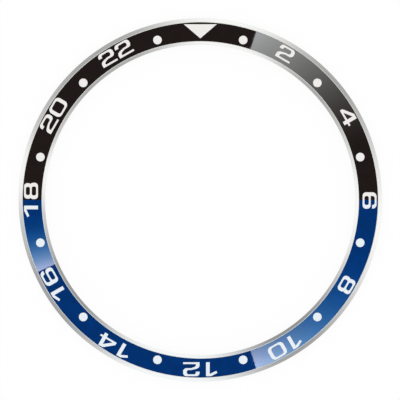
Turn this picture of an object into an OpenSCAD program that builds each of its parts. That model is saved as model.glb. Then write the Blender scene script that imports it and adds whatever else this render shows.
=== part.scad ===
/* [Steel ring] */
// Diameter of the opening that the glass shows through
opening_d = 37.6; // [34:0.2:42]
// Width of the inner bevel, seen from above
inner_bevel_w = 0.4; // [0.3:0.05:0.7]
// Width of the sunk track between the two bevels
track_w = 2.3; // [2.1:0.05:3]
// Width of the outer chamfer, seen from above
outer_chamfer_w = 0.5; // [0.35:0.05:0.9]
// Slope of the inner bevel, down towards the opening, in degrees
inner_bevel_slope = 32; // [20:1:45]
// Slope of the track, down towards the outside, in degrees
track_slope = 8; // [4:1:14]
// Slope of the outer chamfer, in degrees
outer_chamfer_slope = 38; // [25:1:50]
// Height of the upright outer wall, from the underside
outer_wall_h = 0.6; // [0.5:0.05:1]
// Height of each crest above the enamel beside it
crest_h = 0.04; // [0.03:0.01:0.08]
// Width of the flat land on each crest
crest_w = 0.06; // [0.04:0.01:0.12]
// Break of the two lower edges
lower_edge_break = 0.12; // [0.05:0.01:0.15]

/* [Enamel] */
// Depth of the enamel in its channel
enamel_t = 0.22; // [0.1:0.01:0.25]
// Height of the white marks above the enamel round them
mark_proud = 0.02; // [0.01:0.005:0.03]

/* [Numerals] */
// Height of a numeral
numeral_h = 1.71; // [1.5:0.01:1.8]
// Least distance from a numeral's corner to the outer edge of the track
numeral_margin = 0.05; // [0.03:0.01:0.15]
// Width of the digits 2, 6 and 8
digit_w = 2; // [1.8:0.01:2.1]
// Width of the digit 0
zero_w = 2.14; // [1.9:0.01:2.3]
// Width of the digit 1 over its flag
one_w = 1.4; // [1.2:0.01:1.5]
// Width of the digit 4 over its crossbar
four_w = 2.2; // [2:0.01:2.3]
// Thickness of an upright stroke
upright_t = 0.46; // [0.4:0.01:0.55]
// Thickness of a level stroke
level_t = 0.24; // [0.2:0.01:0.3]
// Radius of the round corners of a digit
digit_corner_r = 0.52; // [0.3:0.01:0.7]
// Distance from the middle of a 1 to the middle of the digit after it
pitch_after_one = 2.47; // [2.2:0.01:2.6]
// Distance from the middle of a 2 to the middle of the digit after it
pitch_after_two = 2.28; // [2.2:0.01:2.4]
// How far a numeral that ends in 4 stands clockwise of its hour
four_shift = 0.17; // [0:0.01:0.2]
// How far the other numerals of one digit stand clockwise of their hours
short_shift = 0.07; // [0:0.01:0.15]

/* [Dots and triangle] */
// Diameter of an hour dot
dot_d = 1.06; // [0.8:0.02:1.3]
// Distance from a dot's middle to the inner edge of the track
dot_inset = 0.83; // [0.75:0.01:1.1]
// Width of the triangle along its outer side
triangle_w = 4.05; // [3:0.05:4.4]
// Height of the triangle, towards the middle of the ring
triangle_h = 1.73; // [1.4:0.01:1.8]
// Distance from the triangle's outer side to the outer edge of the track
triangle_margin = 0.23; // [0.2:0.01:0.3]

/* [Tape and liner] */
// Thickness of each of the two layers of adhesive
adhesive_t = 0.05; // [0.03:0.01:0.08]
// Thickness of the foam between them
foam_t = 0.3; // [0.25:0.01:0.5]
// Depth of the recess that holds the tape
recess_depth = 0.2; // [0.1:0.01:0.3]
// Distance from the tape's edges to the two walls of the ring
tape_inset = 0.45; // [0.35:0.01:0.8]
// Clearance between the tape's edges and its recess
tape_clearance = 0.03; // [0.02:0.01:0.1]
// Thickness of the release liner
liner_t = 0.1; // [0.06:0.01:0.15]
// Distance from the liner's edges to the two walls of the ring
liner_inset = 0.15; // [0.1:0.01:0.3]

/* [Hidden] */
$fn = 180;
// Hours that carry a numeral, and those that carry a dot
SHORT_HOURS = [2 : 2 : 8];
LONG_HOURS = [10 : 2 : 22];
DOT_HOURS = [1 : 2 : 23];
hour_angle = 360 / 24;

// Radii, from the opening outwards
opening_r = opening_d / 2;
track_in_r = opening_r + inner_bevel_w;
track_out_r = track_in_r + track_w;
ring_r = track_out_r + outer_chamfer_w;
dot_ring_r = track_in_r + dot_inset;
triangle_out_r = track_out_r - triangle_margin;

// Heights, from the table that the liner lies on
lower_adhesive_z = liner_t;
foam_z = lower_adhesive_z + adhesive_t;
upper_adhesive_z = foam_z + foam_t;
recess_z = upper_adhesive_z + adhesive_t;
underside_z = recess_z - recess_depth;
wall_top_z = underside_z + outer_wall_h;
outer_crest_z = wall_top_z + (outer_chamfer_w - crest_w) * tan(outer_chamfer_slope);
track_low_z = outer_crest_z - crest_h;
track_high_z = track_low_z + track_w * tan(track_slope);
inner_crest_z = track_high_z + crest_h;
bevel_foot_z = inner_crest_z - (inner_bevel_w - crest_w) * tan(inner_bevel_slope);

// Sizes worked out as a share of another are rounded, so that arcs and lines meet exactly
function rounded(size) = round(size * 1000) / 1000;

// Bowl of the 2, 6 and 8, and the short hook that ends the 2 and the 6
bowl_h = rounded(0.58 * numeral_h);
hook_h = rounded(0.33 * numeral_h);
// Largest round corner that a box can have, as a share of its side
most_corner = 0.42;
// How much narrower the 8 is above its waist, on each side
eight_step = 0.05;

// Flag of the 1: how far it drops, its thickness, and where its ends are
flag_drop = rounded(0.24 * numeral_h);
flag_t = rounded(0.17 * numeral_h);
flag_shoulder = 0.15;
flag_tip_w = 0.16;
flag_tip_rise = 0.04;

// Sweep of the 2, from its arch down to its foot
sweep_end_x = 0.34;
sweep_end_rise = 0.08;
heel_x = 0.1;
heel_drop = 0.06;
ankle_drop = 0.28;
sweep_inner_x = 0.13;
sweep_inner_drop = 0.16;

// The 4: its crossbar, its sloping side and its eye
crossbar_z = rounded(0.23 * numeral_h);
four_tip_h = 0.34;
four_apex_w = 0.64;
four_stem_inset = 0.35;
four_eye_x = 0.47;
four_eye_drop = 0.35;

// Widest pair of digits, which sets how far out a numeral can stand
pair_w = digit_w + pitch_after_two;
numeral_top_r = sqrt(pow(track_out_r - numeral_margin, 2) - pow(pair_w / 2, 2));
numeral_base_r = numeral_top_r - numeral_h;

// How far a cutting shape runs past what it cuts
overrun = 1;

steel_colour = "#D6D6D4";
black_colour = "#1F1816";
blue_colour = "#023271";
white_colour = "#F1EFEC";
adhesive_colour = "#DAD8CC";
foam_colour = "#F2F2F0";
liner_colour = "#E7DFC2";

// Sizes of one digit, and its distance from the next

function width_of(digit) =
    digit == 0 ? zero_w
    : digit == 1 ? one_w
    : digit == 4 ? four_w
    : digit_w;

function pitch_after(digit) = digit == 1 ? pitch_after_one : pitch_after_two;

function tens_of(hour) = floor(hour / 10);

function ones_of(hour) = hour % 10;

function shift_of(hour) =
    ones_of(hour) == 4 ? four_shift
    : tens_of(hour) == 0 ? short_shift
    : 0;

function long_w(hour) =
    width_of(tens_of(hour)) / 2 + pitch_after(tens_of(hour)) + width_of(ones_of(hour)) / 2;

// Outlines of the digits, each standing on y = 0 with its left side at x = 0

// Box with round corners and its lower left corner at (x, y)
module round_box(x, y, w, h, corner) {
    r = rounded(min(corner, most_corner * w, most_corner * h));
    translate([x + r, y])
        square([w - 2 * r, h]);
    translate([x, y + r])
        square([w, h - 2 * r]);
    for (cx = [x + r, x + w - r], cy = [y + r, y + h - r])
        translate([cx, cy])
            circle(r);
}

// Closed stroke round a box, thick at the sides and thin above and below
module bowl(x, y, w, h) {
    difference() {
        round_box(x, y, w, h, digit_corner_r);
        round_box(
            x + upright_t, y + level_t, w - 2 * upright_t, h - 2 * level_t, digit_corner_r / 2
        );
    }
}

module digit_0() {
    bowl(0, 0, zero_w, numeral_h);
}

module digit_1() {
    stem_x = one_w - upright_t;
    polygon([
        [0, numeral_h - flag_drop],
        [stem_x - flag_shoulder, numeral_h],
        [one_w, numeral_h],
        [one_w, 0],
        [stem_x, 0],
        [stem_x, numeral_h - flag_t],
        [flag_tip_w, numeral_h - flag_drop - flag_t + flag_tip_rise]
    ]);
}

module digit_2() {
    arch_z = numeral_h - bowl_h;
    difference() {
        bowl(0, arch_z, digit_w, bowl_h);
        translate([-overrun, arch_z - overrun])
            square([overrun + digit_w / 2, overrun + bowl_h - hook_h]);
    }
    polygon([
        [digit_w / 2, arch_z],
        [digit_w / 2, arch_z + level_t],
        [sweep_end_x, arch_z + sweep_end_rise],
        [heel_x, arch_z - heel_drop],
        [0, arch_z - ankle_drop],
        [0, 0],
        [digit_w, 0],
        [digit_w, level_t],
        [upright_t, level_t],
        [upright_t, arch_z - ankle_drop],
        [upright_t + sweep_inner_x, arch_z - sweep_inner_drop]
    ]);
}

module digit_4() {
    stem_x = four_w - four_stem_inset - upright_t;
    stem_out_x = stem_x + upright_t;
    crossbar_top = crossbar_z + level_t;
    difference() {
        polygon([
            [0, crossbar_z],
            [0, crossbar_z + four_tip_h],
            [stem_out_x - four_apex_w, numeral_h],
            [stem_out_x, numeral_h],
            [stem_out_x, crossbar_top],
            [four_w, crossbar_top],
            [four_w, crossbar_z],
            [stem_out_x, crossbar_z],
            [stem_out_x, 0],
            [stem_x, 0],
            [stem_x, crossbar_z]
        ]);
        polygon([
            [four_eye_x, crossbar_top],
            [stem_x, crossbar_top],
            [stem_x, numeral_h - four_eye_drop]
        ]);
    }
}

module digit_6() {
    bowl(0, 0, digit_w, bowl_h);
    difference() {
        bowl(0, 0, digit_w, numeral_h);
        translate([upright_t, -overrun])
            square([digit_w + overrun, overrun + numeral_h - hook_h]);
    }
}

module digit_8() {
    bowl(0, 0, digit_w, bowl_h);
    bowl(eight_step, bowl_h - level_t, digit_w - 2 * eight_step, numeral_h - bowl_h + level_t);
}

module digit(value) {
    if (value == 0) digit_0();
    if (value == 1) digit_1();
    if (value == 2) digit_2();
    if (value == 4) digit_4();
    if (value == 6) digit_6();
    if (value == 8) digit_8();
}

// Outlines of the marks in their places on the track, clockwise from the triangle

module at_hour(hour) {
    rotate([0, 0, -hour * hour_angle])
        children();
}

module dot_outline(hour) {
    at_hour(hour)
        translate([0, dot_ring_r])
            circle(d = dot_d);
}

module triangle_outline() {
    polygon([
        [-triangle_w / 2, triangle_out_r],
        [triangle_w / 2, triangle_out_r],
        [0, triangle_out_r - triangle_h]
    ]);
}

module short_numeral_outline(hour) {
    at_hour(hour)
        translate([shift_of(hour) - width_of(hour) / 2, numeral_base_r])
            digit(hour);
}

module tens_outline(hour) {
    at_hour(hour)
        translate([shift_of(hour) - long_w(hour) / 2, numeral_base_r])
            digit(tens_of(hour));
}

module ones_outline(hour) {
    at_hour(hour)
        translate([shift_of(hour) + long_w(hour) / 2 - width_of(ones_of(hour)), numeral_base_r])
            digit(ones_of(hour));
}

// The track's sloping layer, from the channel's floor to a height above the enamel
module track_layer(above, start, angle) {
    rotate_extrude(start = start, angle = angle)
        polygon([
            [track_in_r, track_high_z - enamel_t],
            [track_out_r, track_low_z - enamel_t],
            [track_out_r, track_low_z + above],
            [track_in_r, track_high_z + above]
        ]);
}

// An upright prism of an outline, through the whole track
module through_track() {
    translate([0, 0, underside_z])
        linear_extrude(inner_crest_z - underside_z + overrun)
            children();
}

// White enamel inside an outline, from the channel's floor to just above the track
module white_fill() {
    color(white_colour)
        intersection() {
            track_layer(mark_proud, 0, 360);
            through_track()
                children();
        }
}

module all_marks() {
    triangle_outline();
    for (hour = SHORT_HOURS)
        short_numeral_outline(hour);
    for (hour = LONG_HOURS) {
        tens_outline(hour);
        ones_outline(hour);
    }
    for (hour = DOT_HOURS)
        dot_outline(hour);
}

// Half of the coloured track; what the closed digits surround stays as small islands
module enamel_half(start) {
    difference() {
        track_layer(0, start, 180);
        through_track()
            all_marks();
    }
}

// A flat ring, set back by an inset from the opening and from the outer wall
module flat_ring(inset, z, thickness) {
    rotate_extrude()
        translate([opening_r + inset, z])
            square([ring_r - opening_r - 2 * inset, thickness]);
}

// Polished steel ring with the track's channel above and the tape's recess below
module bezel_body() {
    recess_in_r = opening_r + tape_inset - tape_clearance;
    recess_out_r = ring_r - tape_inset + tape_clearance;
    color(steel_colour)
        rotate_extrude()
            polygon([
                [opening_r, underside_z + lower_edge_break],
                [opening_r + lower_edge_break, underside_z],
                [recess_in_r, underside_z],
                [recess_in_r, recess_z],
                [recess_out_r, recess_z],
                [recess_out_r, underside_z],
                [ring_r - lower_edge_break, underside_z],
                [ring_r, underside_z + lower_edge_break],
                [ring_r, wall_top_z],
                [track_out_r + crest_w, outer_crest_z],
                [track_out_r, outer_crest_z],
                [track_out_r, track_low_z - enamel_t],
                [track_in_r, track_high_z - enamel_t],
                [track_in_r, inner_crest_z],
                [track_in_r - crest_w, inner_crest_z],
                [opening_r, bevel_foot_z]
            ]);
}

// Black enamel of the upper half of the dial, open where the marks are
module black_enamel() {
    color(black_colour)
        enamel_half(0);
}

// Blue enamel of the lower half of the dial, open where the marks are
module blue_enamel() {
    color(blue_colour)
        enamel_half(180);
}

// White triangle at the zero hour
module zero_triangle() {
    white_fill()
        triangle_outline();
}

// White numeral of one digit
module short_numeral(hour) {
    white_fill()
        short_numeral_outline(hour);
}

// First digit of a white numeral of two digits
module numeral_tens(hour) {
    white_fill()
        tens_outline(hour);
}

// Last digit of a white numeral of two digits
module numeral_ones(hour) {
    white_fill()
        ones_outline(hour);
}

// White dot of an odd hour
module hour_dot(hour) {
    white_fill()
        dot_outline(hour);
}

// Adhesive that holds the tape to the steel
module upper_adhesive() {
    color(adhesive_colour)
        flat_ring(tape_inset, upper_adhesive_z, adhesive_t);
}

// Foam that carries the two layers of adhesive
module foam_carrier() {
    color(foam_colour)
        flat_ring(tape_inset, foam_z, foam_t);
}

// Adhesive that bonds the ring to the watch
module lower_adhesive() {
    color(adhesive_colour)
        flat_ring(tape_inset, lower_adhesive_z, adhesive_t);
}

// Paper liner that covers the lower adhesive until the ring is fitted
module release_liner() {
    color(liner_colour)
        flat_ring(liner_inset, 0, liner_t);
}

bezel_body();
black_enamel();
blue_enamel();
zero_triangle();
for (hour = SHORT_HOURS)
    short_numeral(hour);
for (hour = LONG_HOURS)
    numeral_tens(hour);
for (hour = LONG_HOURS)
    numeral_ones(hour);
for (hour = DOT_HOURS)
    hour_dot(hour);
upper_adhesive();
foam_carrier();
lower_adhesive();
release_liner();
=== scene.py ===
"""Looks of a self-adhesive bezel ring for a smartwatch.

A polished steel ring carries an enamelled 24-hour track: black for the upper half of the dial and blue for
the lower half, with a white triangle, numerals and dots inlaid. Foam tape and its paper liner are underneath.
Sizes are in millimetres here and become metres as each mesh is made. Bearings run clockwise from the
triangle, and all angles are in degrees. Names that end in _r are radii, in _z heights above the table, and
in _w, _h and _t widths, heights and thicknesses.
"""

import sys

import logging
import math
from dataclasses import dataclass, field
from enum import Enum
from functools import partial

import bmesh
import bpy
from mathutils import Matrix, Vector
from mathutils.geometry import delaunay_2d_cdt


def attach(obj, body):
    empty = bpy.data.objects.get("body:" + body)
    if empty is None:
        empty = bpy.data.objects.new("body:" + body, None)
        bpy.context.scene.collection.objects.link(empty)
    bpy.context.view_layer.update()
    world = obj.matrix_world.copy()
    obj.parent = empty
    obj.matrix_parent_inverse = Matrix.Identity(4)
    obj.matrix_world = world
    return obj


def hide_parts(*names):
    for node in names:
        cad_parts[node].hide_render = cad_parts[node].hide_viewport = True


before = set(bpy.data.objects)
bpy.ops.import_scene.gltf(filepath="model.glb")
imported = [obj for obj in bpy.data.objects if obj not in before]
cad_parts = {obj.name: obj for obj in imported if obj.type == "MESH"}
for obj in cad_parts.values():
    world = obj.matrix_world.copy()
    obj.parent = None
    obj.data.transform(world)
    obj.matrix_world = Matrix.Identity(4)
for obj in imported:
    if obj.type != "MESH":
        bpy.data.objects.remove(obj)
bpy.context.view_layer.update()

log = logging.getLogger("bezel_ring")

Point = tuple[float, float]
Point3 = tuple[float, float, float]
Loop = list[Point]
# Whether it adds material or cuts it, and the loop round that
Stroke = tuple[bool, Loop]
# Left side, lower side, width and height
Box = tuple[float, float, float, float]
Piece = bpy.types.Object
Socket = bpy.types.NodeSocket
Link = Socket | float | tuple[float, ...] | None

METRES = 0.001
CENTRE = (0.0, 0.0)
QUARTER_TURN = 90
HALF_TURN = 180
FULL_TURN = 360
HOURS = 24
HOUR_ANGLE = 15
# Asks for triangles over the whole hull of the points
WHOLE_HULL = 0
# Points nearer to each other than this are one point
SAME_POINT = 1e-5
# Least distance between two points of an outline, and of a point from the line between its neighbours
LEAST_STEP = 0.006
LEAST_BEND = 0.0002
# Least divisor at a corner that moves inwards, so that a very sharp one doesn't shoot away
LEAST_DIVISOR = 0.2
# Straight steps in a fillet
FILLET_STEPS = 3
# Faces that meet at less than this angle are shaded as one smooth face
SMOOTH_BEND = 31
# Most of a noise lies between these two values
NOISE_LOW = 0.3
NOISE_HIGH = 0.7
# Setting of a node that runs softly from one value to another
SMOOTH = {"interpolation_type": "SMOOTHSTEP"}


class Body(Enum):
    """The two bodies that the pieces ride on."""

    RING = "ring"
    LINER = "liner"


class Texture(Enum):
    """Textures that draw the marks of a process, with Blender's names for their nodes."""

    CLOUDS = "TexNoise"
    CELLS = "TexVoronoi"


# Flat geometry


def pairs(items: list) -> zip:
    """Goes round a closed list, with each item and the one after it."""
    return zip(items, items[1:] + items[:1])


def triples(items: list) -> zip:
    """Goes round a closed list, with the item before, each item and the one after it."""
    return zip(items[-1:] + items[:-1], items, items[1:] + items[:1])


def signed_area(loop: Loop) -> float:
    """Measures a loop's area, which is above zero where the loop runs counterclockwise."""
    return sum(x0 * y1 - x1 * y0 for (x0, y0), (x1, y1) in pairs(loop)) / 2


def arc(centre: Point, radius: float, start: float, end: float, steps: int) -> Loop:
    """Gives points along an arc, both ends among them, whose angles run counterclockwise from +X."""
    angles = [math.radians(start + (end - start) * i / steps) for i in range(steps + 1)]
    return [(centre[0] + radius * math.cos(a), centre[1] + radius * math.sin(a)) for a in angles]


def rectangle(x0: float, y0: float, x1: float, y1: float) -> Loop:
    """Gives a rectangle's corners, counterclockwise from its lower left one."""
    return [(x0, y0), (x1, y0), (x1, y1), (x0, y1)]


def turned(loop: Loop, bearing: float) -> Loop:
    """Turns a loop about the ring's axis, from the triangle to a bearing."""
    c, s = math.cos(math.radians(bearing)), math.sin(math.radians(bearing))
    return [(x * c + y * s, y * c - x * s) for x, y in loop]


def inset(loop: Loop, distance: float) -> Loop:
    """Moves each side of a loop into the material on its left.

    Args:
        loop: The loop.
        distance: How far each side moves.

    Returns:
        The new loop, with as many points.
    """
    moved = []
    for before, here, after in triples(loop):
        came = (Vector(here) - Vector(before)).normalized()
        goes = (Vector(after) - Vector(here)).normalized()
        share = distance / max(1 + came.dot(goes), LEAST_DIVISOR)
        moved.append((here[0] - (came.y + goes.y) * share, here[1] + (came.x + goes.x) * share))
    return moved


def simplified(loop: Loop) -> Loop:
    """Leaves out points that add nothing to a loop.

    Args:
        loop: The loop.

    Returns:
        The shorter loop.
    """
    spaced = []
    for point in loop:
        if not spaced or math.dist(point, spaced[-1]) > LEAST_STEP:
            spaced.append(point)
    if math.dist(spaced[0], spaced[-1]) < LEAST_STEP:
        spaced.pop()
    kept = []
    for before, here, after in triples(spaced):
        if abs(signed_area([before, here, after])) * 2 > LEAST_BEND * math.dist(before, after):
            kept.append(here)
    return kept


@dataclass(frozen=True)
class FlatShape:
    """A flat shape made by strokes that add and cut, each over those before it."""

    strokes: list[Stroke]

    def cells(self, extra: Loop) -> tuple[Loop, list[list[int]]]:
        """Divides the shape into triangles.

        Args:
            extra: Points inside the shape that become corners too.

        Returns:
            The points, which start with those of each loop in turn, counterclockwise, and the triangles.
        """
        loops = [loop if signed_area(loop) > 0 else loop[::-1] for _, loop in self.strokes]
        points = [point for loop in loops for point in loop] + extra
        outlines = []
        for loop in loops:
            first = sum(len(outline) for outline in outlines)
            outlines.append(list(range(first, first + len(loop))))
        made, _, cells, sources, _, covers = delaunay_2d_cdt(
            [Vector(p) for p in points], [], outlines, WHOLE_HULL, SAME_POINT, True
        )
        numbers = []
        for point, source in zip(made, sources):
            numbers.append(min(source) if source else len(points))
            if not source:
                points.append((point.x, point.y))
        kept = []
        for cell, cover in zip(cells, covers):
            if cover and self.strokes[max(cover)][0]:
                corners = [numbers[i] for i in cell]
                left = signed_area([points[i] for i in corners]) > 0
                kept.append(corners if left else corners[::-1])
        return points, kept

    def outlines(self) -> list[Loop]:
        """Follows the edges of the shape.

        Returns:
            Its loops, each with the material on its left.
        """
        points, cells = self.cells([])
        edges = [edge for cell in cells for edge in pairs(cell)]
        known = set(edges)
        onward: dict[int, list[int]] = {}
        for a, b in edges:
            if (b, a) not in known:
                onward.setdefault(a, []).append(b)
        found = []
        while onward:
            here = min(onward)
            walk = []
            while here in onward:
                walk.append(points[here])
                following = onward[here].pop()
                if not onward[here]:
                    del onward[here]
                here = following
            found.append(simplified(walk))
        return found


# Sizes of the ring


@dataclass(frozen=True)
class RingSizes:
    """Radii of the ring from its axis, heights above the table, and the sloping face of its enamel."""

    opening_r: float = 18.8
    track_in_r: float = 19.2
    track_out_r: float = 21.5
    ring_r: float = 22.0
    underside_z: float = 0.3
    # Roof over the tape
    recess_z: float = 0.5
    # Top of the upright outer wall
    wall_top_z: float = 0.9
    # A narrow crest of steel on each side of the track, and how far both stand above the enamel
    outer_crest_z: float = 1.24377
    inner_crest_z: float = 1.56701
    crest_w: float = 0.06
    crest_h: float = 0.04
    bevel_foot_z: float = 1.35455
    enamel_t: float = 0.22
    # Stoning leaves the enamel very slightly domed: how far its middle stands above a straight slope
    dome_h: float = 0.0015
    # Break of the lower edges
    edge_break: float = 0.12
    tape_in_r: float = 19.25
    tape_out_r: float = 21.55
    # Space between the tape and the walls of its recess
    tape_clearance: float = 0.03
    liner_in_r: float = 18.95
    liner_out_r: float = 21.85

    @property
    def track_w(self) -> float:
        """Width of the track."""
        return self.track_out_r - self.track_in_r

    @property
    def track_low_z(self) -> float:
        """Height of the enamel at its outer edge."""
        return self.outer_crest_z - self.crest_h

    @property
    def track_high_z(self) -> float:
        """Height of the enamel at its inner edge."""
        return self.inner_crest_z - self.crest_h

    @property
    def track_drop_h(self) -> float:
        """How far the enamel falls from its inner to its outer edge."""
        return self.track_high_z - self.track_low_z

    def track_share(self, x: float, y: float) -> float:
        """Gives how far outwards on the track a point lies, from 0 to 1."""
        return (math.hypot(x, y) - self.track_in_r) / self.track_w

    def enamel_z(self, x: float, y: float) -> float:
        """Gives the height of the enamel's face over a point."""
        out = self.track_share(x, y)
        return self.track_high_z - self.track_drop_h * out + 4 * self.dome_h * out * (1 - out)

    def enamel_normal(self, x: float, y: float) -> Vector:
        """Gives the direction that the enamel faces over a point.

        Args:
            x: Place across the ring.
            y: Place up the dial.

        Returns:
            The unit normal.
        """
        curve = 4 * self.dome_h * (1 - 2 * self.track_share(x, y))
        fall = (self.track_drop_h - curve) / self.track_w / math.hypot(x, y)
        return Vector((fall * x, fall * y, 1)).normalized()


# Finishes


def linear(colour: str, share: float = 1.0) -> tuple[float, ...]:
    """Turns an sRGB colour, written #RRGGBB, into linear light, and first multiplies it by a share."""
    parts = [min(round(int(colour[i : i + 2], 16) * share), 255) / 255 for i in (1, 3, 5)]
    return *(p / 12.92 if p <= 0.04045 else ((p + 0.055) / 1.055) ** 2.4 for p in parts), 1.0


def add_node(tree: bpy.types.NodeTree, kind: str, *values: Link, **settings: str) -> Socket:
    """Adds a node with its settings and what goes into it.

    Args:
        tree: Tree that takes the node.
        kind: Blender's type of the node, without the ShaderNode in front.
        values: For each input in use, in order, a plain value, the output that feeds it, or None to leave it.
        settings: Properties of the node.

    Returns:
        The first output in use. The others are reached through its node.
    """
    node = tree.nodes.new("ShaderNode" + kind)
    for name, value in settings.items():
        setattr(node, name, value)
    for entry, value in zip([one for one in node.inputs if one.enabled], values):
        if isinstance(value, Socket):
            tree.links.new(value, entry)
        elif value is not None:
            entry.default_value = value
    return next(one for one in node.outputs if one.enabled)


@dataclass(frozen=True)
class Finish:
    """A surface as its process left it, with marks that shade its colour, vary its gloss and stand up."""

    name: str
    # Slot of the part's record that it stands for
    slot: str
    colour: str
    roughness: float
    mark_w: float
    mark_h: float
    # What the marks multiply the colour by, and what they add to the roughness, at their low and high ends
    shades: Point
    haze: Point
    # How many finer marks lie in each mark, and how much of its height shows
    detail: float = 2.0
    strength: float = 1.0
    texture: Texture = Texture.CLOUDS
    # A metal keeps this default index of refraction
    ior: float = 1.5
    metallic: float = 0.0
    # Tint of what it mirrors
    glaze: str = "#FFFFFF"

    def material(self) -> bpy.types.Material:
        """Gives the material, which is made when it is first asked for.

        Returns:
            The material, with its marks in nodes.
        """
        known = bpy.data.materials.get(self.name)
        if known:
            return known
        made = bpy.data.materials.new(self.name)
        made.use_nodes = True
        tree = made.node_tree
        add = partial(add_node, tree)
        shader = tree.nodes["Principled BSDF"].inputs
        shader["Base Color"].default_value = linear(self.colour)
        shader["Roughness"].default_value = self.roughness
        shader["IOR"].default_value = self.ior
        shader["Metallic"].default_value = self.metallic
        shader["Specular Tint"].default_value = linear(self.glaze)
        part = add("TexCoord").node.outputs["Object"]
        place = add("VectorMath", part, 1 / METRES, operation="SCALE")
        marks, relief = self.marks(add, place)
        bump = add("Bump", self.strength, self.mark_h * METRES, None, relief)
        tree.links.new(bump, shader["Normal"])
        rough = self.spread(add, marks, self.roughness + self.haze[0], self.roughness + self.haze[1])
        tree.links.new(rough, shader["Roughness"])
        tree.links.new(self.tone(add, place, marks), shader["Base Color"])
        return made

    def marks(self, add: partial, place: Socket) -> tuple[Socket, Socket]:
        """Draws the marks: what shades the colour and the gloss at a place, and what stands up there."""
        marks = add(self.texture.value, place, 1 / self.mark_w, self.detail)
        return marks, marks

    def tone(self, add: partial, place: Socket, marks: Socket) -> Socket:
        """Gives the colour at a place, as the marks shade it."""
        return self.mottled(add, marks, self.colour)

    def mottled(self, add: partial, marks: Socket, colour: str) -> Socket:
        """Runs between the two shades of a colour as the marks do."""
        low, high = (linear(colour, share) for share in self.shades)
        return add("Mix", self.spread(add, marks, 0, 1), low, high, data_type="RGBA")

    def spread(self, add: partial, marks: Socket, low: float, high: float) -> Socket:
        """Runs between two values as the marks do."""
        return add("MapRange", marks, NOISE_LOW, NOISE_HIGH, low, high)


@dataclass(frozen=True)
class TurnedSteel(Finish):
    """Stainless steel, turned on a lathe and polished on the wheel.

    A bright, slightly soft mirror, which shows the lamps round the table as broad patches. Fine marks round
    the axis stretch each highlight a little across the ring.
    """

    name: str = "turned_polished_stainless_steel"
    slot: str = "polished_steel"
    colour: str = "#D6D6D4"
    roughness: float = 0.17
    metallic: float = 1.0
    # A lathe leaves marks about 0.03 mm apart; they are drawn twice as far apart, so that they show
    mark_w: float = 0.06
    mark_h: float = 0.00008
    shades: Point = (0.985, 1.015)
    haze: Point = (-0.03, 0.04)
    detail: float = 3.0
    # Polishing isn't even along the ring: some stretches keep a little more haze
    stretch_w: float = 4.0
    stretch_detail: float = 2.0
    stretch_share: float = 0.4

    def marks(self, add: partial, place: Socket) -> tuple[Socket, Socket]:
        """Draws turning marks round the axis, and stretches of haze.

        Args:
            add: Adds a node to the material's tree.
            place: Place on the part.

        Returns:
            What shades the colour and the gloss, and what stands up.
        """
        x, y, z = add("SeparateXYZ", place).node.outputs
        radius = add("VectorMath", add("CombineXYZ", x, y), operation="LENGTH")
        across = add("CombineXYZ", radius, z)
        turning = add("TexNoise", across, 1 / self.mark_w, self.detail, noise_dimensions="2D")
        stretches = add("TexNoise", place, 1 / self.stretch_w, self.stretch_detail)
        mixed = add("Mix", self.stretch_share, turning, stretches, data_type="FLOAT")
        return mixed, turning


@dataclass(frozen=True)
class FiredEnamel(Finish):
    """Vitreous enamel, fired in its channel and stoned flush.

    A clear, glassy glaze. Faint clouds and ripples keep its reflections from being quite even.
    """

    roughness: float = 0.014
    ior: float = 1.6
    # Ripples that firing leaves in the glaze
    mark_w: float = 1.4
    mark_h: float = 0.0002
    detail: float = 1.0
    shades: Point = (0.94, 1.06)
    haze: Point = (-0.004, 0.006)
    # Slight clouds in the colour
    cloud_w: float = 0.9
    cloud_detail: float = 4.0

    def marks(self, add: partial, place: Socket) -> tuple[Socket, Socket]:
        """Draws clouds in the colour, and ripples that stand up."""
        clouds = add("TexNoise", place, 1 / self.cloud_w, self.cloud_detail)
        return clouds, super().marks(add, place)[1]


@dataclass(frozen=True)
class GroundWhite(Finish):
    """White enamel, filled in above the track and ground to a matte face.

    A near white with no shine, with a painted cool tint of light in the lower half.
    """

    name: str = "ground_white_enamel"
    slot: str = "white_enamel"
    colour: str = "#F1EFEC"
    roughness: float = 0.55
    # A 400 grit stone leaves scratches about 0.04 mm wide; they are drawn wider, so that they show
    mark_w: float = 0.09
    mark_h: float = 0.0012
    strength: float = 0.6
    shades: Point = (0.985, 1.01)
    haze: Point = (-0.06, 0.06)
    # Painted light: the white of the lower half is tinted cool blue, a painted tint of the cooler light that
    # falls there
    cool_lit_white: str = "#EAF2F8"
    # How far the painted cool tint fades across the border between the black and the blue
    cool_light_fade_w: float = 0.12

    def tone(self, add: partial, place: Socket, marks: Socket) -> Socket:
        """Gives the white of the upper half and, in the lower half, the white with its painted cool tint of
        light.

        Args:
            add: Adds a node to the material's tree.
            place: Place on the part.
            marks: What shades the colour.

        Returns:
            The colour.
        """
        up_the_dial = add("SeparateXYZ", place).node.outputs["Y"]
        # Painted light: below the border the white takes a cool tint that stands for cooler light on the
        # lower half
        cool_light_share = add("MapRange", up_the_dial, self.cool_light_fade_w, -self.cool_light_fade_w)
        whites = (self.mottled(add, marks, colour) for colour in (self.colour, self.cool_lit_white))
        return add("Mix", cool_light_share, *whites, data_type="RGBA")


@dataclass(frozen=True)
class CastAdhesive(Finish):
    """Acrylic adhesive, cast as a film and cut with the tape.

    Cream, with the soft, slightly wavy sheen of something tacky.
    """

    name: str = "cast_acrylic_adhesive"
    slot: str = "adhesive"
    colour: str = "#DAD8CC"
    roughness: float = 0.22
    ior: float = 1.47
    # Waves in the film
    mark_w: float = 0.5
    mark_h: float = 0.004
    strength: float = 0.7
    shades: Point = (0.97, 1.03)
    haze: Point = (-0.05, 0.08)


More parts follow.
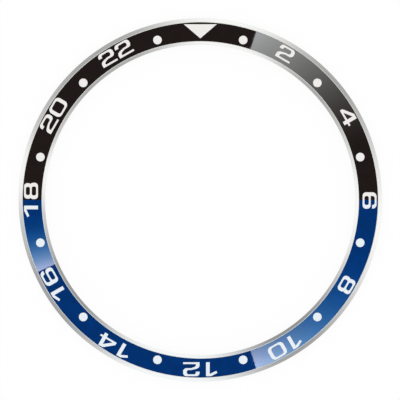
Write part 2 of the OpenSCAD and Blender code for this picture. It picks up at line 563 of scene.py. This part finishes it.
@dataclass(frozen=True)
class ClosedCellFoam(Finish):
    """Polyethylene foam, blown with closed cells and die cut.

    White and dull, with the cut cells as small hollows, each with painted shade that darkens its middle.
    """

    name: str = "die_cut_polyethylene_foam"
    slot: str = "foam"
    colour: str = "#F2F2F0"
    roughness: float = 0.8
    # Cells are 0.05 to 0.2 mm wide
    texture: Texture = Texture.CELLS
    mark_w: float = 0.13
    mark_h: float = 0.02
    detail: float = 0.0
    strength: float = 0.5
    # Painted shade: the colour is darkest at each cell's middle, where its hollow lies deepest
    shades: Point = (0.93, 1.0)
    haze: Point = (0.05, -0.05)


@dataclass(frozen=True)
class SiliconedKraft(Finish):
    """Kraft paper, calendered and coated with silicone.

    Straw-coloured, with its fibres under a thin coating of low gloss.
    """

    name: str = "silicone_coated_kraft_paper"
    slot: str = "liner_paper"
    colour: str = "#E7DFC2"
    roughness: float = 0.35
    ior: float = 1.43
    # Fibres are 0.03 mm wide; their clumps show
    mark_w: float = 0.12
    mark_h: float = 0.002
    detail: float = 4.0
    strength: float = 0.6
    shades: Point = (0.93, 1.03)
    haze: Point = (-0.05, 0.08)
    # How much longer than wide the clumps are, along the paper's grain
    stretch: float = 5.0

    def marks(self, add: partial, place: Socket) -> tuple[Socket, Socket]:
        """Draws the fibres, all along the grain of the paper."""
        along = add("Mapping", place, None, None, (1 / self.stretch, 1.0, 1.0))
        return super().marks(add, along)


# Meshes and objects


def show(name: str, data: bpy.types.ID) -> Piece:
    """Puts a mesh or a camera into the scene.

    Args:
        name: Name of the object.
        data: The mesh or the camera.

    Returns:
        The object.
    """
    made = bpy.data.objects.new(name, data)
    bpy.context.scene.collection.objects.link(made)
    return made


@dataclass
class Shell:
    """Points, in millimetres, and faces of a closed mesh while it is built."""

    points: list[Point3] = field(default_factory=list)
    faces: list[list[int]] = field(default_factory=list)

    def wall(self, lower: list[int], upper: list[int]) -> None:
        """Joins two rings of as many points, given as numbers with the material on their left."""
        for (a, b), (d, c) in zip(pairs(lower), pairs(upper)):
            self.faces.append([a, b, c, d])

    def piece(self, name: str, finish: Finish, node: str, body: Body = Body.RING) -> Piece:
        """Makes the piece and puts it in its place on the part.

        Args:
            name: Name of the piece.
            finish: Its finish.
            node: Node of the CAD model that it stands for.
            body: Body that it rides on.

        Returns:
            The piece.
        """
        mesh = bpy.data.meshes.new(name)
        mesh.from_pydata([tuple(c * METRES for c in p) for p in self.points], [], self.faces)
        mesh.materials.append(finish.material())
        mesh.shade_smooth()
        mesh.set_sharp_from_angle(angle=math.radians(SMOOTH_BEND))
        made = show(name, mesh)
        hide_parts(node)
        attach(made, body.value)
        return made


def lathe(corners: list[Point3], support: float, steps: int) -> Shell:
    """Turns a profile with soft corners about the ring's axis.

    Args:
        corners: Radius, height and fillet of each corner, counterclockwise.
        support: Distance from a fillet's end to the point that keeps the face beside it flat.
        steps: Number of steps round the axis.

    Returns:
        The closed ring.
    """
    shell = Shell()
    rings = []
    for radius, z in softened(corners, support):
        first = len(shell.points)
        shell.points += [(x, y, z) for x, y in arc(CENTRE, radius, 0, FULL_TURN, steps)[:-1]]
        rings.append(list(range(first, first + steps)))
    for lower, upper in pairs(rings):
        shell.wall(lower, upper)
    return shell


def softened(corners: list[Point3], support: float) -> Loop:
    """Rounds the corners of a profile.

    Args:
        corners: Radius, height and fillet of each corner, counterclockwise.
        support: Distance from a fillet's end to the point that keeps the face beside it flat.

    Returns:
        The profile's points.
    """
    made = []
    for before, here, after in triples(corners):
        corner, fillet = Vector(here[:2]), here[2]
        if fillet == 0:
            made.append(tuple(corner))
            continue
        back = (Vector(before[:2]) - corner).normalized()
        on = (Vector(after[:2]) - corner).normalized()
        half = math.acos(max(-1.0, min(1.0, back.dot(on)))) / 2
        reach = fillet / math.tan(half)
        centre = corner + (back + on).normalized() * (fillet / math.sin(half))
        first = corner + back * reach
        last = corner + on * reach
        start = math.atan2(first.y - centre.y, first.x - centre.x)
        sweep = math.atan2(last.y - centre.y, last.x - centre.x) - start
        sweep = (sweep + math.pi) % (2 * math.pi) - math.pi
        made.append(tuple(first + back * support))
        made += arc(tuple(centre), fillet, math.degrees(start), math.degrees(start + sweep), FILLET_STEPS)
        made.append(tuple(last + on * support))
    return made


@dataclass(kw_only=True)
class TrackFill(Shell):
    """A solid that fills the track's channel, from its floor up to the enamel's surface or above."""

    sizes: RingSizes
    # Numbers of the faces at its top
    top: range = range(0)

    def ring(self, loop: Loop, above: float) -> list[int]:
        """Adds the points of a loop at a height above the enamel's surface, and gives their numbers."""
        self.points += [(x, y, self.sizes.enamel_z(x, y) + above) for x, y in loop]
        return list(range(len(self.points) - len(loop), len(self.points)))

    def build_up(self, loops: list[Loop], steps: list[Point], extra: Loop) -> None:
        """Builds the solid from the channel's floor upwards.

        Args:
            loops: Its edges on the floor.
            steps: For each ring over the floor, how far in it lies and how high above the enamel's surface.
            extra: Points that let the top follow the slope.
        """
        rings = []
        for inward, above in [(0, -self.sizes.enamel_t), *steps]:
            rings.append([self.ring(inset(loop, inward), above) for loop in loops])
        for below, higher in zip(rings, rings[1:]):
            for lower, upper in zip(below, higher):
                self.wall(lower, upper)
        top = self.between(rings[-1], extra, steps[-1][1])
        self.top = range(len(self.faces), len(self.faces) + len(top))
        self.faces += top
        self.faces += [corners[::-1] for corners in self.between(rings[0], [], 0)]

    def between(self, rings: list[list[int]], extra: Loop, above: float) -> list[list[int]]:
        """Divides the face between rings into triangles.

        Args:
            rings: Numbers of each ring's points.
            extra: Further points for the face.
            above: Height of these above the enamel's surface.

        Returns:
            The triangles, as seen from above.
        """
        loops = [([self.points[i][:2] for i in ring], ring) for ring in rings]
        loops.sort(key=lambda pair: -abs(signed_area(pair[0])))
        strokes = []
        numbers = []
        for loop, ring in loops:
            solid = signed_area(loop) > 0
            strokes.append((solid, loop))
            numbers += ring if solid else ring[::-1]
        flat, cells = FlatShape(strokes).cells(extra)
        used = sorted({i for cell in cells for i in cell if i >= len(numbers)})
        new = dict(zip(used, self.ring([flat[i] for i in used], above)))
        return [[numbers[i] if i < len(numbers) else new[i] for i in cell] for cell in cells]

    def face_the_slope(self, piece: Piece) -> None:
        """Gives a piece's top the true normals of the slope, so that reflections run smoothly over it.

        Args:
            piece: The piece that was made from the mesh.
        """
        normals = []
        for face in piece.data.polygons:
            sloping = face.index in self.top
            for i in face.vertices:
                x, y, _ = self.points[i]
                normals.append(self.sizes.enamel_normal(x, y) if sloping else face.normal.copy())
        piece.data.normals_split_custom_set(normals)


# Sub-assemblies


@dataclass(frozen=True)
class SteelRing:
    """Steel ring with a channel for the enamel above and a recess for the tape below."""

    sizes: RingSizes
    finish: Finish = TurnedSteel()
    # Fillet of the outer and lower edges, as polishing leaves them, and of the others that are soft
    edge_r: float = 0.03
    small_edge_r: float = 0.015
    support_w: float = 0.004
    steps: int = 360

    def profile(self) -> list[Point3]:
        """Gives the ring's section.

        Returns:
            Radius, height and fillet of each corner.
        """
        s = self.sizes
        recess_in_r = s.tape_in_r - s.tape_clearance
        recess_out_r = s.tape_out_r + s.tape_clearance
        return [
            (s.opening_r, s.underside_z + s.edge_break, self.edge_r),
            (s.opening_r + s.edge_break, s.underside_z, self.edge_r),
            (recess_in_r, s.underside_z, self.small_edge_r),
            (recess_in_r, s.recess_z, 0),
            (recess_out_r, s.recess_z, 0),
            (recess_out_r, s.underside_z, self.small_edge_r),
            (s.ring_r - s.edge_break, s.underside_z, self.edge_r),
            (s.ring_r, s.underside_z + s.edge_break, self.edge_r),
            (s.ring_r, s.wall_top_z, self.edge_r),
            (s.track_out_r + s.crest_w, s.outer_crest_z, 0),
            (s.track_out_r, s.outer_crest_z, 0),
            (s.track_out_r, s.track_low_z - s.enamel_t, 0),
            (s.track_in_r, s.track_high_z - s.enamel_t, 0),
            (s.track_in_r, s.inner_crest_z, 0),
            (s.track_in_r - s.crest_w, s.inner_crest_z, 0),
            (s.opening_r, s.bevel_foot_z, self.small_edge_r),
        ]

    def build(self) -> list[Piece]:
        """Builds and dresses the ring."""
        shell = lathe(self.profile(), self.support_w, self.steps)
        return [shell.piece("Steel_ring", self.finish, "bezel_body")]


@dataclass(frozen=True)
class Digits:
    """Outlines of the digits, each standing on y = 0 with its left side at x = 0."""

    height: float = 1.71
    # Width of the 2, 6 and 8, and then of the others
    usual_w: float = 2.0
    zero_w: float = 2.14
    one_w: float = 1.4
    four_w: float = 2.2
    # Thickness of upright and of level strokes
    upright_t: float = 0.46
    level_t: float = 0.24
    # Round corners, at most this share of a box's side
    corner_r: float = 0.52
    most_corner: float = 0.42
    corner_steps: int = 9
    # Bowl of the 2, 6 and 8, and the short hook of the 2 and 6
    bowl_h: float = 0.992
    hook_h: float = 0.564
    # How much narrower the 8 is above its waist, on each side
    eight_step: float = 0.05
    # How far a cut goes past the digit
    past_w: float = 1.0
    # The 1, from the left end of its flag
    one: tuple[Point, ...] = (
        *((0, 1.3), (0.79, 1.71), (1.4, 1.71), (1.4, 0)),
        *((0.94, 0), (0.94, 1.419), (0.16, 1.049)),
    )
    # The 2 below its arch: down the outside of the sweep, round the foot and up the inside
    two: tuple[Point, ...] = (
        *((1, 0.718), (1, 0.958), (0.34, 0.798), (0.1, 0.658), (0, 0.438)),
        *((0, 0), (2, 0), (2, 0.24), (0.46, 0.24)),
        *((0.46, 0.438), (0.59, 0.558)),
    )
    # The 4, from the left end of its crossbar, and its eye
    four: tuple[Point, ...] = (
        *((0, 0.393), (0, 0.733), (1.21, 1.71), (1.85, 1.71)),
        *((1.85, 0.633), (2.2, 0.633), (2.2, 0.393), (1.85, 0.393)),
        *((1.85, 0), (1.39, 0), (1.39, 0.393)),
    )
    four_eye: tuple[Point, ...] = ((0.47, 0.633), (1.39, 0.633), (1.39, 1.36))

    def width(self, value: int) -> float:
        """Gives the width of a digit."""
        return {0: self.zero_w, 1: self.one_w, 4: self.four_w}.get(value, self.usual_w)

    def round_box(self, box: Box, corner: float) -> Loop:
        """Gives the outline of a box with round corners.

        Args:
            box: The box.
            corner: Radius of the corners, which is less where the box is small.

        Returns:
            The outline, counterclockwise.
        """
        x, y, w, h = box
        r = min(corner, self.most_corner * w, self.most_corner * h)
        middles = [(x + w - r, y + r), (x + w - r, y + h - r), (x + r, y + h - r), (x + r, y + r)]
        starts = range(-QUARTER_TURN, HALF_TURN + 1, QUARTER_TURN)
        arcs = [arc(c, r, a, a + QUARTER_TURN, self.corner_steps) for c, a in zip(middles, starts)]
        return [point for one in arcs for point in one]

    def bowl(self, box: Box) -> list[Stroke]:
        """Gives a closed stroke inside a box, thick at the sides and thin above and below.

        Args:
            box: The box.

        Returns:
            What adds it and cuts its eye.
        """
        x, y, w, h = box
        thick, thin = self.upright_t, self.level_t
        eye = (x + thick, y + thin, w - 2 * thick, h - 2 * thin)
        return [(True, self.round_box(box, self.corner_r)), (False, self.round_box(eye, self.corner_r / 2))]

    def outlines(self, value: int) -> list[Loop]:
        """Gives a digit's edges.

        Args:
            value: The digit.

        Returns:
            Its loops, each with the material on its left.
        """
        w, h, past = self.usual_w, self.height, self.past_w
        arch_z, hook_z, waist_z = h - self.bowl_h, h - self.hook_h, self.bowl_h - self.level_t
        low = self.bowl((0, 0, w, self.bowl_h))
        strokes = {
            0: self.bowl((0, 0, self.zero_w, h)),
            1: [(True, list(self.one))],
            # An arch that is cut back to a short hook, and the sweep and foot
            2: [
                *self.bowl((0, arch_z, w, self.bowl_h)),
                (False, rectangle(-past, arch_z - past, w / 2, hook_z)),
                (True, list(self.two)),
            ],
            4: [(True, list(self.four)), (False, list(self.four_eye))],
            # A tall bowl that is cut back to its stem and hook, and a low bowl over it
            6: [*self.bowl((0, 0, w, h)), (False, rectangle(self.upright_t, -past, w + past, hook_z)), *low],
            # Two bowls, the upper one a little narrower
            8: [*low, *self.bowl((self.eight_step, waist_z, w - 2 * self.eight_step, h - waist_z))],
        }
        return FlatShape(strokes[value]).outlines()


@dataclass(frozen=True)
class HourMarks:
    """White triangle, numerals and dots, each its own inlay."""

    sizes: RingSizes
    digits: Digits = Digits()
    finish: Finish = GroundWhite()
    # Distance from the ring's axis to a numeral's foot
    base_r: float = 19.63233
    # Distance from the middle of a 1 or a 2 to the middle of the digit after it
    pitch_after_one: float = 2.47
    pitch_after_two: float = 2.28
    # How far a numeral that ends in 4, and any other numeral of one digit, stands clockwise of its hour
    four_shift: float = 0.17
    short_shift: float = 0.07
    dot_r: float = 0.53
    dot_steps: int = 56
    # Distance from the ring's axis to a dot's middle
    dot_ring_r: float = 20.03
    triangle_w: float = 4.05
    triangle_h: float = 1.73
    triangle_out_r: float = 21.27
    # Height of the marks above the enamel
    proud_h: float = 0.02
    # How much a mark's sides lean in between the channel's floor and the enamel's surface
    draft_w: float = 0.006
    # Steps of a mark's round shoulder, inwards and upwards, as shares of its height above the enamel
    shoulder: tuple[Point, ...] = ((0.0, 0.0), (0.1, 0.4), (0.4, 0.75), (0.9, 0.94), (1.6, 1.0))
    # Distance between the points that let a mark's top follow the slope
    grid_w: float = 0.3

    def placed(self, value: int, hour: int, x: float) -> list[Loop]:
        """Puts a digit on the track, with its left side at x from the line of its numeral's hour."""
        loops = self.digits.outlines(value)
        return [turned([(px + x, py + self.base_r) for px, py in loop], hour * HOUR_ANGLE) for loop in loops]

    def outlines(self) -> dict[str, list[Loop]]:
        """Gives the loops of every mark.

        Returns:
            For each mark, by the name of its node, its loops in place.
        """
        half = self.triangle_w / 2
        top = self.triangle_out_r
        found = {"zero_triangle": [[(-half, top), (0, top - self.triangle_h), (half, top)]]}
        for hour in range(2, HOURS, 2):
            tens, ones = divmod(hour, 10)
            shift = self.four_shift if ones == 4 else self.short_shift if tens == 0 else 0
            ones_w = self.digits.width(ones)
            if not tens:
                found[f"numeral_{hour}"] = self.placed(ones, hour, shift - ones_w / 2)
                continue
            pitch = self.pitch_after_one if tens == 1 else self.pitch_after_two
            both_w = self.digits.width(tens) / 2 + pitch + ones_w / 2
            found[f"numeral_{hour}_tens"] = self.placed(tens, hour, shift - both_w / 2)
            found[f"numeral_{hour}_ones"] = self.placed(ones, hour, shift + both_w / 2 - ones_w)
        dot = arc((0, self.dot_ring_r), self.dot_r, 0, FULL_TURN, self.dot_steps)[:-1]
        for hour in range(1, HOURS, 2):
            found[f"dot_{hour}"] = [turned(dot, hour * HOUR_ANGLE)]
        return found

    def build(self) -> list[Piece]:
        """Builds and dresses the marks.

        Returns:
            The pieces.
        """
        shoulder = [(self.draft_w + x * self.proud_h, z * self.proud_h) for x, z in self.shoulder]
        made = []
        for node, loops in self.outlines().items():
            fill = TrackFill(sizes=self.sizes)
            fill.build_up(loops, shoulder, self.grid(loops))
            made.append(fill.piece("White_" + node, self.finish, node))
        return made

    def grid(self, loops: list[Loop]) -> Loop:
        """Spreads points over a mark, so that its top follows the slope.

        Args:
            loops: The mark's loops.

        Returns:
            The points.
        """
        lines = []
        for places in zip(*(point for loop in loops for point in loop)):
            count = int((max(places) - min(places)) / self.grid_w)
            lines.append([min(places) + (i + 0.5) * self.grid_w for i in range(count)])
        return [(x, y) for x in lines[0] for y in lines[1]]


@dataclass(frozen=True)
class EnamelTrack:
    """The two halves of coloured enamel, open where the marks are."""

    marks: HourMarks
    # A warm black
    black: Finish = FiredEnamel("fired_black_enamel", "black_enamel", "#1F1816")
    # A deep blue, whose cobalt tints the glare on it too
    blue: Finish = FiredEnamel("fired_blue_enamel", "blue_enamel", "#023271", glaze="#C2DCFF")
    # Steps of each half along the track and across it
    steps: int = 180
    rows: int = 8
    # A distance from the axis that lies beyond the ring
    beyond_w: float = 30.0

    def half(self, start: float) -> TrackFill:
        """Builds one half.

        Args:
            start: Angle at which it starts, counterclockwise from +X.

        Returns:
            The half's solid.
        """
        s = self.marks.sizes
        end = start + HALF_TURN
        outer = arc(CENTRE, s.track_out_r, start, end, self.steps)
        inner = arc(CENTRE, s.track_in_r, end, start, self.steps)
        marks = [loop for mark in self.marks.outlines().values() for loop in mark]
        marks.sort(key=lambda loop: -abs(signed_area(loop)))
        strokes = [(True, outer + inner), *((signed_area(loop) < 0, loop) for loop in marks)]
        # The other half of the ring, into which marks on the border would reach
        below, above = (-self.beyond_w, 0) if start == 0 else (0, self.beyond_w)
        strokes.append((False, rectangle(-self.beyond_w, below, self.beyond_w, above)))
        extra = []
        for row in range(1, self.rows):
            radius = s.track_in_r + s.track_w * row / self.rows
            extra += arc(CENTRE, radius, start, end, self.steps)[1:-1]
        fill = TrackFill(sizes=s)
        fill.build_up(FlatShape(strokes).outlines(), [(0, 0)], extra)
        return fill

    def build(self) -> list[Piece]:
        """Builds and dresses both halves.

        Returns:
            The pieces.
        """
        made = []
        for colour, finish, start in (("black", self.black, 0), ("blue", self.blue, HALF_TURN)):
            fill = self.half(start)
            piece = fill.piece(colour.title() + "_enamel", finish, colour + "_enamel")
            fill.face_the_slope(piece)
            made.append(piece)
        return made


@dataclass(frozen=True)
class MountingTape:
    """Double-coated foam tape: a film of adhesive on each side of its foam."""

    sizes: RingSizes
    adhesive: Finish = CastAdhesive()
    foam: Finish = ClosedCellFoam()
    # Height of the foam's lower face
    foam_z: float = 0.15
    foam_t: float = 0.3
    film_t: float = 0.05
    # How far the foam and the films swell out between their faces
    foam_bulge: float = 0.018
    film_bulge: float = 0.002
    # Fillet of each edge as a share of the layer's thickness
    fillet_share: float = 0.18
    support_w: float = 0.001
    steps: int = 240

    def layer(self, z: float, thickness: float, bulge: float) -> Shell:
        """Builds one layer.

        Args:
            z: Height of its lower face.
            thickness: Thickness of the layer.
            bulge: How far its sides swell out.

        Returns:
            The closed ring.
        """
        s = self.sizes
        fillet = thickness * self.fillet_share
        corners = [
            (s.tape_in_r, z, fillet),
            (s.tape_out_r, z, fillet),
            (s.tape_out_r + bulge, z + thickness / 2, fillet),
            (s.tape_out_r, z + thickness, fillet),
            (s.tape_in_r, z + thickness, fillet),
            (s.tape_in_r - bulge, z + thickness / 2, fillet),
        ]
        return lathe(corners, self.support_w, self.steps)

    def build(self) -> list[Piece]:
        """Builds and dresses the three layers.

        Returns:
            The pieces.
        """
        upper = self.layer(self.foam_z + self.foam_t, self.film_t, self.film_bulge)
        carrier = self.layer(self.foam_z, self.foam_t, self.foam_bulge)
        lower = self.layer(self.foam_z - self.film_t, self.film_t, self.film_bulge)
        return [
            upper.piece("Adhesive_film_upper", self.adhesive, "upper_adhesive"),
            carrier.piece("Foam_carrier_ring", self.foam, "foam_carrier"),
            lower.piece("Adhesive_film_lower", self.adhesive, "lower_adhesive"),
        ]


@dataclass(frozen=True)
class PaperLiner:
    """Release liner, a die-cut paper ring."""

    sizes: RingSizes
    finish: Finish = SiliconedKraft()
    paper_t: float = 0.1
    # Fillets that the die leaves below and above
    lower_edge_r: float = 0.01
    upper_edge_r: float = 0.025
    support_w: float = 0.002
    steps: int = 240

    def build(self) -> list[Piece]:
        """Builds and dresses the liner.

        Returns:
            The piece.
        """
        s = self.sizes
        corners = [
            (s.liner_in_r, 0, self.lower_edge_r),
            (s.liner_out_r, 0, self.lower_edge_r),
            (s.liner_out_r, self.paper_t, self.upper_edge_r),
            (s.liner_in_r, self.paper_t, self.upper_edge_r),
        ]
        shell = lathe(corners, self.support_w, self.steps)
        return [shell.piece("Paper_liner", self.finish, "release_liner", Body.LINER)]


# Studio


@dataclass(frozen=True)
class SoftPanel:
    """One of the tall soft panels that stand round the table."""

    bearing: float
    level: float
    # Half the angle over which it is evenly bright, and the angle from its middle at which it has faded
    full: float
    reach: float
    # How much further round its upper end stands
    lean: float = 0.0


@dataclass(frozen=True)
class StripLamp:
    """A strip of light high over the table, which fades towards one end."""

    # Bearings of its ends
    dim_end: float
    bright_end: float
    # Red, green and blue at the bright end, and the power by which each of them fades
    levels: Point3
    fades: Point3
    # Share by which its outer side is brighter, and its inner side dimmer, at the bright end
    side_gain: float


@dataclass(frozen=True)
class StudioLight:
    """The world: plain white to look at and for soft light, and a studio in what steel and glaze mirror.

    Names that end in _edge hold two angles from the zenith, between which one level gives way to the next.
    """

    panels: tuple[SoftPanel, ...] = (
        SoftPanel(8.5, 1.39, 5.5, 35),
        SoftPanel(97.5, 1.44, 0, 47.5, 5.0),
        SoftPanel(189.5, 1.41, 7.5, 39),
        SoftPanel(279, 1.42, 1, 24),
        SoftPanel(279, 0.79, 17, 36),
    )
    strips: tuple[StripLamp, ...] = (
        StripLamp(72.1, 18.4, (5.9, 6.15, 6.25), (1.87, 1.88, 1.96), 0.1),
        StripLamp(100.4, 161.6, (10.8, 9.75, 9.15), (4.3, 2.5, 1.77), 0.4),
        StripLamp(273.5, 246.2, (13.1, 10.6, 9.85), (7.3, 4.2, 3.1), 0.12),
    )
    # Levels of the soft hood round the camera, of the ceiling round it and of that beyond, and their ends
    hood: float = 1.2
    dark: float = 0.03
    upper: float = 1.1
    hood_edge: Point = (9.0, 11.0)
    dark_edge: Point = (25.0, 29.0)
    upper_edge: Point = (48.0, 56.0)
    # Up to this angle from the zenith the upper row of panels shows, across the table from the lower row
    row_limit: float = 70.0
    # Mean level between the panels in the lower and the upper row, and how far it rises towards top_bearing
    low: Point = (0.56, 0.5)
    swing: Point = (0.04, 0.11)
    top_bearing: float = -13.0
    # Middle of the side from which the light is cooler, the cosines from it between which that fades, and how
    # much more red, green and blue there is
    cool_bearing: float = 200.0
    cool_fade: Point = (0.1, 0.6)
    cool_tint: Point3 = (-0.025, 0.0, 0.03)
    # Where the strips come up and go down again, and where their inner side gives way to their outer side
    strip_in_edge: Point = (16.2, 16.95)
    strip_out_edge: Point = (18.7, 17.95)
    strip_side_edge: Point = (17.07, 17.83)

    def build(self) -> None:
        """Makes the world."""
        world = bpy.data.worlds.new("Studio")
        world.use_nodes = True
        # Each ray then meets the world as the kind of ray that it is
        world.cycles.sampling_method = "NONE"
        bpy.context.scene.world = world
        tree = world.node_tree
        add = partial(add_node, tree)
        x, y, z = add("SeparateXYZ", add("TexCoord")).node.outputs
        tilt = add("Math", z, operation="ARCCOSINE")
        from_zenith = add("Math", tilt, operation="DEGREES")
        swung = add("Math", x, y, operation="ARCTAN2")
        bearing = add("Math", swung, operation="DEGREES")
        room = self.room(add, from_zenith, bearing)
        lamps = self.lamps(add, from_zenith, bearing)
        mirrored = add("VectorMath", room, lamps, operation="ADD")
        rays = add("LightPath").node.outputs
        plain = add("Math", rays["Is Camera Ray"], rays["Is Diffuse Ray"], operation="MAXIMUM")
        seen = add("Mix", plain, mirrored, linear("#FFFFFF"), data_type="RGBA")
        tree.links.new(seen, tree.nodes["Background"].inputs["Color"])

    def room(self, add: partial, from_zenith: Socket, bearing: Socket) -> Socket:
        """Gives the light of the ceiling and the panels.

        Args:
            add: Adds a node to the world's tree.
            from_zenith: Angle from the zenith.
            bearing: Bearing, which may be below zero.

        Returns:
            The light as a colour.
        """
        upper = add("Math", from_zenith, self.row_limit, operation="LESS_THAN")
        row = add("Math", upper, HALF_TURN, bearing, operation="MULTIPLY_ADD")
        towards = []
        for middle in (self.top_bearing, self.cool_bearing):
            away = add("Math", row, middle, operation="SUBTRACT")
            away = add("Math", away, operation="RADIANS")
            towards.append(add("Math", away, operation="COSINE"))
        swing, low = (
            add("Math", upper, above - below, below, operation="MULTIPLY_ADD")
            for below, above in (self.swing, self.low)
        )
        low = add("Math", towards[0], swing, low, operation="MULTIPLY_ADD")
        sides = low
        for panel in self.panels:
            away = add("Math", upper, panel.lean, row, operation="MULTIPLY_ADD")
            away = add("Math", away, panel.bearing, operation="SUBTRACT")
            away = add("Math", away, HALF_TURN, operation="PINGPONG")
            glow = add("MapRange", away, panel.reach, panel.full, low, panel.level, **SMOOTH)
            sides = add("Math", sides, glow, operation="MAXIMUM")
        cool = add("MapRange", towards[1], *self.cool_fade, **SMOOTH)
        tint = add("VectorMath", cool, self.cool_tint, (1.0, 1.0, 1.0), operation="MULTIPLY_ADD")
        tinted = add("VectorMath", tint, sides, operation="SCALE")
        ceiling: Link = self.hood
        for edge, beyond in ((self.hood_edge, self.dark), (self.dark_edge, self.upper)):
            ceiling = add("MapRange", from_zenith, *edge, ceiling, beyond, **SMOOTH)
        down = add("MapRange", from_zenith, *self.upper_edge, **SMOOTH)
        return add("Mix", down, ceiling, tinted, data_type="RGBA")

    def lamps(self, add: partial, from_zenith: Socket, bearing: Socket) -> Socket:
        """Gives the light of the strips.

        Args:
            add: Adds a node to the world's tree.
            from_zenith: Angle from the zenith.
            bearing: Bearing, which may be below zero.

        Returns:
            The light as a colour.
        """
        bearing = add("Math", bearing, FULL_TURN, 0.0, operation="WRAP")
        overhead: Link = 1.0
        for edge in (self.strip_in_edge, self.strip_out_edge):
            overhead = add("MapRange", from_zenith, *edge, 0.0, overhead, **SMOOTH)
        across = add("MapRange", from_zenith, *self.strip_side_edge, -1.0, 1.0)
        total: Link = (0.0, 0.0, 0.0)
        for strip in self.strips:
            ends = strip.dim_end, strip.bright_end
            middle, half = sum(ends) / 2, abs(ends[1] - ends[0]) / 2
            inside = add("Math", bearing, middle, half, operation="COMPARE")
            along = add("MapRange", bearing, *ends)
            side = add("Math", across, strip.side_gain, operation="MULTIPLY")
            gain = add("Math", along, side, 1.0, operation="MULTIPLY_ADD")
            lit = add("Math", inside, overhead, operation="MULTIPLY")
            lit = add("Math", lit, gain, operation="MULTIPLY")
            faded = add("VectorMath", along, strip.fades, operation="POWER")
            faded = add("VectorMath", faded, lit, operation="SCALE")
            total = add("VectorMath", faded, strip.levels, total, operation="MULTIPLY_ADD")
        return total


@dataclass(frozen=True)
class Table:
    """The table: white to look at and in mirrors, and softly shaded by the object. Sizes are in metres."""

    half_w: float = 3.0
    # Just below the liner
    top_z: float = -0.00002
    # Share of its white that the object can shade
    shade: float = 0.08

    def build(self) -> None:
        """Makes the table."""
        mesh = bpy.data.meshes.new("Table")
        outline = rectangle(-self.half_w, -self.half_w, self.half_w, self.half_w)
        mesh.from_pydata([(x, y, self.top_z) for x, y in outline], [], [[0, 1, 2, 3]])
        show("Table", mesh)
        made = bpy.data.materials.new("white_paper_sweep")
        made.use_nodes = True
        tree = made.node_tree
        add = partial(add_node, tree)
        tree.nodes.remove(tree.nodes["Principled BSDF"])
        paper = add("BsdfDiffuse", (self.shade, self.shade, self.shade, 1.0))
        rays = add("LightPath").node.outputs
        shown: Link = 0.0
        for kind in ("Is Camera Ray", "Is Glossy Ray", "Is Transmission Ray"):
            shown = add("Math", shown, rays[kind], operation="MAXIMUM")
        strength = add("Math", shown, 1 - self.shade, operation="MULTIPLY")
        both = add("AddShader", paper, add("Emission", None, strength))
        tree.links.new(both, tree.nodes["Material Output"].inputs["Surface"])
        mesh.materials.append(made)


@dataclass(frozen=True)
class OverheadCamera:
    """The camera, straight above the ring and far enough for an almost parallel view. Sizes are in metres."""

    height: float = 0.8
    # Height of the plane that fills the frame, and that plane's width
    focus: float = 0.0009
    frame_w: float = 0.04843
    # The photograph's frame isn't quite centred on the ring
    aside: Point = (-0.0000363, -0.000011)

    def build(self) -> None:
        """Makes the camera."""
        lens = bpy.data.cameras.new("Camera")
        lens.lens = lens.sensor_width * (self.height - self.focus) / self.frame_w
        camera = show("Camera", lens)
        camera.location = (*self.aside, self.height)
        bpy.context.scene.camera = camera


def report(piece: Piece) -> None:
    """Logs how many faces and open edges a piece has, and its volume.

    Args:
        piece: The piece.
    """
    mesh = bmesh.new()
    mesh.from_mesh(piece.data)
    gaps = sum(not edge.is_manifold for edge in mesh.edges)
    volume = mesh.calc_volume(signed=True) / METRES**3
    log.info("%s: %d faces, %d open edges, %.2f mm3", piece.name, len(mesh.faces), gaps, volume)
    mesh.free()


def main() -> None:
    """Builds the part and its studio."""
    logging.basicConfig(level=logging.INFO, format="%(name)s: %(message)s", stream=sys.stdout)
    sizes = RingSizes()
    marks = HourMarks(sizes)
    for assembly in (SteelRing(sizes), EnamelTrack(marks), marks, MountingTape(sizes), PaperLiner(sizes)):
        for piece in assembly.build():
            report(piece)
    StudioLight().build()
    Table().build()
    OverheadCamera().build()
    bpy.context.scene.view_settings.view_transform = "Standard"


if __name__ == "__main__":
    main()
